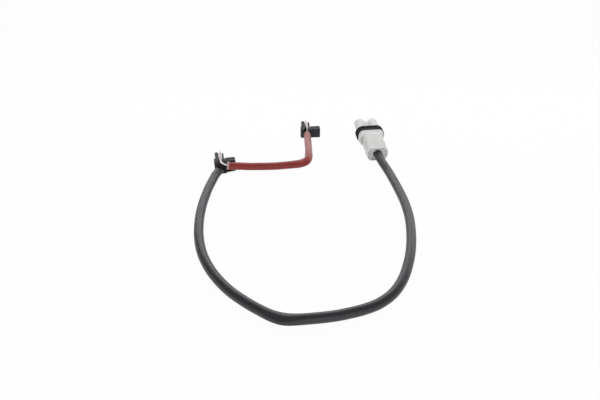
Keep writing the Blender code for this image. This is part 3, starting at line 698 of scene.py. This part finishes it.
def ribbon(name, matrix, points, width, thickness):
    """A flat strip along a smooth line, with its flat side up and rounded edges."""
    line = smooth_line([placed(matrix, *point) for point in points], RIBBON_STEP * MM)
    outline = ring(width / 2, thickness / 2, thickness / 2)
    shape = bmesh.new()
    rings = []
    for i, middle in enumerate(line):
        left, up = sides_of(line, i)
        rings.append([shape.verts.new(middle + (left * x + up * z) * MM) for x, z in outline])
    for near, far in zip(rings, rings[1:]):
        bridge(shape, near, far)
    shape.faces.new(rings[0])
    shape.faces.new(rings[-1])
    settle(closed_object(name, shape), "steel")


def build_clip_tails():
    """Strips that run from the clips over the boot and the housing to the sleeve's ends."""
    ribbon("head_1_clip_tail", HEAD_1, TAIL_1, TAIL_WIDTH, TAIL_THICKNESS)
    ribbon("head_2_clip_tail", HEAD_2, TAIL_2, TAIL_WIDTH, TAIL_THICKNESS)


def pinch_boot(place):
    """Draw in the boot's near side towards its right, above the tail."""
    x, y, z = HEAD_1.inverted() @ place / MM
    if z > BOOT_PINCH_HEIGHT:
        right = share_between(x, *BOOT_PINCH_RIGHT)
        near = share_between(y, *BOOT_PINCH_NEAR)
        y += BOOT_PINCH * right * near
        z -= BOOT_DROP * near * max(0.0, z - BOOT_DROP_START) / BOOT_DROP_HEIGHT
    return placed(HEAD_1, x, y, z)


def build_heads():
    """Housings, lids and clips of both heads, and the boot at the first."""
    for number in (1, 2):
        name = "head_%d_" % number
        refine(name + "housing", "head", 0.12)
        refine(name + "block_lid", "head", 0.1)
        refine(name + "spring_clip", "steel", 0.08)
    refine("junction_boot", "rubber", 0.15, reshape=pinch_boot)


# Cable and sleeve

def smooth_line(points, step):
    """Read points at even steps along a smooth curve through the given ones."""
    ends = [points[0] * 2 - points[1]] + list(points) + [points[-1] * 2 - points[-2]]
    fine = []
    for i in range(1, len(ends) - 2):
        p0, p1, p2, p3 = ends[i - 1:i + 3]
        for part in range(CURVE_STEPS):
            t = part / CURVE_STEPS
            fine.append(0.5 * (2 * p1 + (p2 - p0) * t
                               + (2 * p0 - 5 * p1 + 4 * p2 - p3) * t ** 2
                               + (3 * p1 - p0 - 3 * p2 + p3) * t ** 3))
    fine.append(points[-1].copy())
    reach = [0.0]
    for a, b in zip(fine, fine[1:]):
        reach.append(reach[-1] + (b - a).length)
    count = round(reach[-1] / step)
    line = []
    k = 0
    for n in range(count + 1):
        target = reach[-1] * n / count
        while k < len(fine) - 2 and reach[k + 1] < target:
            k += 1
        share = (target - reach[k]) / (reach[k + 1] - reach[k])
        line.append(fine[k].lerp(fine[k + 1], min(1.0, share)))
    return line


def distances(line):
    """Distance along a line to each of its points, in millimetres."""
    made = [0.0]
    for a, b in zip(line, line[1:]):
        made.append(made[-1] + (b - a).length / MM)
    return made


def nearest(line, place):
    """Distance along a line, in millimetres, to its point nearest to a place on the table."""
    spot = Vector(place) * MM
    gaps = [(Vector((p.x, p.y)) - spot).length for p in line]
    return distances(line)[gaps.index(min(gaps))]


def sides_of(line, i):
    """Left and up at a point of a line that lies about level."""
    ahead = (line[min(i + 1, len(line) - 1)] - line[max(i - 1, 0)]).normalized()
    left = Vector((-ahead.y, ahead.x, 0.0)).normalized()
    return left, ahead.cross(left)


def sweep(name, line, section, wall):
    """A tube along a line that lies about level. section gives a point of its outer side, to
    the left and up in millimetres, from the distance along it and the angle around it."""
    shape = bmesh.new()
    uv = shape.loops.layers.uv.new("tube")
    along = distances(line)
    outer = []
    inner = []
    for i, middle in enumerate(line):
        left, up = sides_of(line, i)
        rings = ([], [])
        for side in range(TUBE_SIDES):
            angle = 2 * math.pi * side / TUBE_SIDES
            x, z = section(along[i], angle)
            size = math.hypot(x, z)
            for ring_points, share in zip(rings, (1.0, 1.0 - wall / size)):
                point = middle + left * (x * share * MM) + up * (z * share * MM)
                ring_points.append(shape.verts.new(point))
        outer.append(rings[0])
        inner.append(rings[1])

    def strip(near, far, near_along, far_along):
        """Faces between two rings, with their turns around and distances along as texture."""
        for side in range(TUBE_SIDES):
            to = (side + 1) % TUBE_SIDES
            face = shape.faces.new((near[side], near[to], far[to], far[side]))
            turns = (side / TUBE_SIDES, (side + 1) / TUBE_SIDES)
            corners = ((turns[0], near_along), (turns[1], near_along),
                       (turns[1], far_along), (turns[0], far_along))
            for loop, corner in zip(face.loops, corners):
                loop[uv].uv = corner

    for skin in (outer, inner):
        for i in range(len(line) - 1):
            strip(skin[i], skin[i + 1], along[i], along[i + 1])
    for i in (0, -1):
        strip(outer[i], inner[i], along[i], along[i])
    bmesh.ops.recalc_face_normals(shape, faces=shape.faces)
    return new_object(name, shape)


def sheath_end(ahead):
    """A point by the cable's end at the first head."""
    turn = math.radians(SHEATH_END_TURN)
    x = SHEATH_END[0] - ahead * math.sin(turn)
    y = SHEATH_END[1] + ahead * math.cos(turn)
    return placed(HEAD_1, x, y, HEAD_WIRE_AXIS)


def sheath_line():
    """Middle line of the cable, from its inner end in the shroud to the first head."""
    start = placed(PLUG, 0.0, RETAINER_END + GAP, 0.0)
    points = [placed(PLUG, 0.0, RETAINER_START - GAP, 0.0)]
    points += [Vector(place) * MM for place in SHEATH_ROUTE]
    dip = Vector((0.0, 0.0, SHEATH_END_DIP * MM))
    points += [sheath_end(-SHEATH_DIAMETER) - dip, sheath_end(0.0)]
    straight = [start.lerp(points[0], step / STRAIGHT_STEPS) for step in range(STRAIGHT_STEPS)]
    return straight + smooth_line(points, SHEATH_STEP * MM)


def build_sheath():
    """Cable sheath with its kink."""
    line = sheath_line()
    kink = nearest(line, KINK_PLACE)
    radius = SHEATH_DIAMETER / 2

    def section(distance, angle):
        near = bell(distance - kink, KINK_REACH)
        corner = fade(math.hypot(distance - kink, KINK_ROUND), KINK_CORNER_REACH)
        outwards = max(0.0, math.cos(angle))
        x = radius * (1 + KINK_WIDER * near) * math.cos(angle)
        x += KINK_CORNER * corner ** KINK_FADE * outwards ** SIDE_FADE
        z = radius * (1 - KINK_FLATTER * near) * math.sin(angle)
        return x, z - radius * KINK_FLATTER * near

    sheath = sweep("cable_tube", line, section, SHEATH_WALL)
    settle(sheath, "sheath", sharp=50.0)
    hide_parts("cable_sheath")


def sleeve_line():
    """Middle line of the sleeve, from the boot to the second head."""
    points = [placed(HEAD_1, *SLEEVE_START)]
    points += [Vector(place) * MM for place in SLEEVE_ROUTE]
    points += [placed(HEAD_2, 0.0, -GAP, HEAD_WIRE_AXIS)]
    return smooth_line(points, SLEEVE_STEP * MM)


def build_sleeve():
    """Sleeve of the link, with its fold and the flare of its first end."""
    line = sleeve_line()
    fold = nearest(line, FOLD_PLACE)
    radius = SLEEVE_DIAMETER / 2

    def section(distance, angle):
        crease = fade(abs(distance - fold), FOLD_REACH)
        size = radius * (1 + FLARE_RISE * fade(distance, FLARE_REACH) ** 2)
        inwards = max(0.0, math.cos(angle))
        outwards = max(0.0, -math.cos(angle))
        wide = bell(distance - fold + FOLD_REACH, FOLD_SPREAD_REACH)
        x = size * math.cos(angle) - FOLD_DEPTH * crease * inwards ** SIDE_FADE
        x -= FOLD_SPREAD * wide * outwards ** SIDE_FADE
        swell = FOLD_SWELL * crease
        return x, size * math.sin(angle) * (1 + swell) + radius * swell

    sleeve = sweep("link_tube", line, section, SLEEVE_WALL)
    settle(sleeve, "sleeve", sharp=60.0)
    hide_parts("link_sleeve")


# Solids that stay

KEPT = {
    "connector_contact_1": "tin", "connector_contact_2": "tin", "feed_wire": "wire",
    "return_wire": "wire", "link_wire": "wire",
}
KEPT_IN_HEADS = {
    "sensing_loop": "copper", "lower_splice": "tin", "upper_splice": "tin", "potting": "resin",
}


def dress_solids():
    """Give the solids that stay their finish."""
    looks = dict(KEPT)
    for number in (1, 2):
        for part, look in KEPT_IN_HEADS.items():
            looks["head_%d_%s" % (number, part)] = look
    for node, look in looks.items():
        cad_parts[node].material_slots[0].material = LOOKS[look]


# Floor, light and camera

FLOOR_SIDE = 8.0
FLOOR_GLOW = 0.965
FLOOR_COLOUR = (0.95, 0.95, 0.95, 1.0)


def build_floor():
    """White table, whose own glow for the camera leaves the object's shadow on it."""
    shape = bmesh.new()
    bmesh.ops.create_grid(shape, x_segments=1, y_segments=1, size=FLOOR_SIDE / 2)
    floor = new_object("floor", shape)
    look = bpy.data.materials.new("floor")
    look.use_nodes = True
    look.node_tree.nodes.clear()
    matt = add(look, "BsdfDiffuse", {"Color": FLOOR_COLOUR})
    glow = add(look, "Emission", {"Color": (1.0, 1.0, 1.0, 1.0), "Strength": 1.0})
    rays = add(look, "LightPath").outputs
    seen = calculate(look, "MAXIMUM", rays["Is Camera Ray"], rays["Is Glossy Ray"])
    seen = calculate(look, "MAXIMUM", seen, rays["Is Transmission Ray"])
    share = calculate(look, "MULTIPLY", seen, FLOOR_GLOW)
    mixed = add(look, "MixShader", {0: share, 1: matt.outputs[0], 2: glow.outputs[0]})
    out = add(look, "OutputMaterial", {"Surface": mixed.outputs[0]})
    out.is_active_output = True
    floor.data.materials.append(look)


# World light by direction: its strength near the horizon, over the table and in front, how
# high the horizon's light reaches, and where the front's light is full and where it ends
WORLD_HORIZON = 1.0
WORLD_ABOVE = 0.42
WORLD_FRONT = 1.45
HORIZON_RANGE = (0.12, 0.3)
FRONT_RANGE = (-0.95, -0.5)


def build_world():
    """White light from all round the part, strongest low in front of it."""
    world = bpy.data.worlds.new("studio")
    bpy.context.scene.world = world
    world.use_nodes = True
    direction = add(world, "SeparateXYZ", {0: add(world, "TexCoord").outputs["Generated"]})
    sky = spread(world, direction.outputs[1], *FRONT_RANGE, WORLD_FRONT, WORLD_ABOVE)
    high = spread(world, direction.outputs[2], *HORIZON_RANGE)
    level = add(world, "Mix", {0: high, 2: WORLD_HORIZON, 3: sky}).outputs[0]
    sky_light = world.node_tree.nodes["Background"]
    put(world, sky_light.inputs["Color"], (1.0, 1.0, 1.0, 1.0))
    put(world, sky_light.inputs["Strength"], level)


# The one lamp, a panel low behind the part: place, aim, width and depth in metres, and watts
PANEL_PLACE = Vector((0.14, 0.15, 0.165))
PANEL_AIM = Vector((0.14, 0.0, 0.165))
PANEL_SIZE = (0.78, 0.15)
PANEL_POWER = 0.95


def build_panel():
    """Lamp whose light shows along the top of the cable."""
    panel = bpy.data.lights.new("back_panel", "AREA")
    panel.shape = "RECTANGLE"
    panel.size, panel.size_y = PANEL_SIZE
    panel.energy = PANEL_POWER
    holder = bpy.data.objects.new("back_panel", panel)
    holder.location = PANEL_PLACE
    holder.rotation_euler = (PANEL_AIM - PANEL_PLACE).to_track_quat("-Z", "Y").to_euler()
    holder.visible_camera = False
    bpy.context.scene.collection.objects.link(holder)


def build_camera():
    """Camera of the photograph's view."""
    data = bpy.data.cameras.new("camera")
    data.lens = CAMERA_LENS
    data.clip_start = CAMERA_CLIP
    camera = bpy.data.objects.new("camera", data)
    camera.location = CAMERA_PLACE
    camera.rotation_euler = (math.radians(90.0 - CAMERA_TILT), 0.0, 0.0)
    bpy.context.scene.collection.objects.link(camera)
    bpy.context.scene.camera = camera


bpy.context.scene.view_settings.view_transform = "Standard"
build_camera()
build_sheath()
build_sleeve()
build_plug_housing()
build_plug_seal()
build_cable_retainer()
build_heads()
build_clip_tails()
dress_solids()
build_floor()
build_world()
build_panel()
